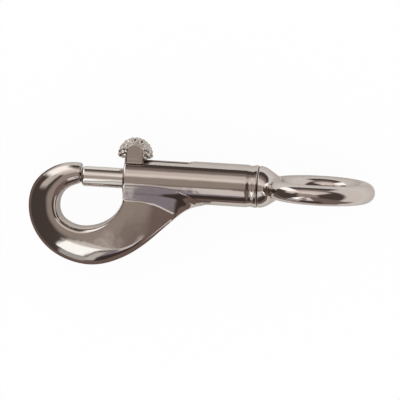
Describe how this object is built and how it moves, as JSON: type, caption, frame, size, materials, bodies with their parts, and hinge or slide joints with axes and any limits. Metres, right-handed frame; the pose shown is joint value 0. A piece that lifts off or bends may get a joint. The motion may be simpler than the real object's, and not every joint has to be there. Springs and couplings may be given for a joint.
{
  "type": "bolt snap",
  "caption": "Swivel-eye bolt snap: cast hook with a sprung sliding bolt worked by a knurled thumb knob, and a round eye that turns in the barrel's end.",
  "frame": {"origin": "centre of the round eye, on the barrel's axis", "axes": "+X along the barrel from the hook to the eye, +Y towards the thumb knob, +Z square to the flat of the hook"},
  "size_m": [0.1071, 0.0405, 0.034],
  "materials": {
    "plated_casting": "polished nickel plate on a casting, slightly warm",
    "plated_bolt": "bright nickel plate on a turned rod",
    "plated_knob": "nickel plate, knurled head",
    "spring_steel": "plain drawn spring wire",
    "plated_eye": "polished nickel plate on a casting"
  },
  "bodies": {
    "body": {"snap_body": "plated_casting", "spring": "spring_steel"},
    "bolt": {"bolt": "plated_bolt", "thumb_knob": "plated_knob"},
    "eye": {"swivel_eye": "plated_eye"}
  },
  "joints": [
    {"name": "bolt_slide", "type": "slide", "parent": "body", "child": "bolt", "axis": [1, 0, 0], "range_m": [0, 0.0136], "stiffness_N_per_m": 450, "springref_m": -0.012, "deforming": ["spring"]},
    {"name": "swivel", "type": "hinge", "parent": "body", "child": "eye", "pos_m": [-0.0188, 0, 0], "axis": [1, 0, 0], "continuous": true}
  ]
}
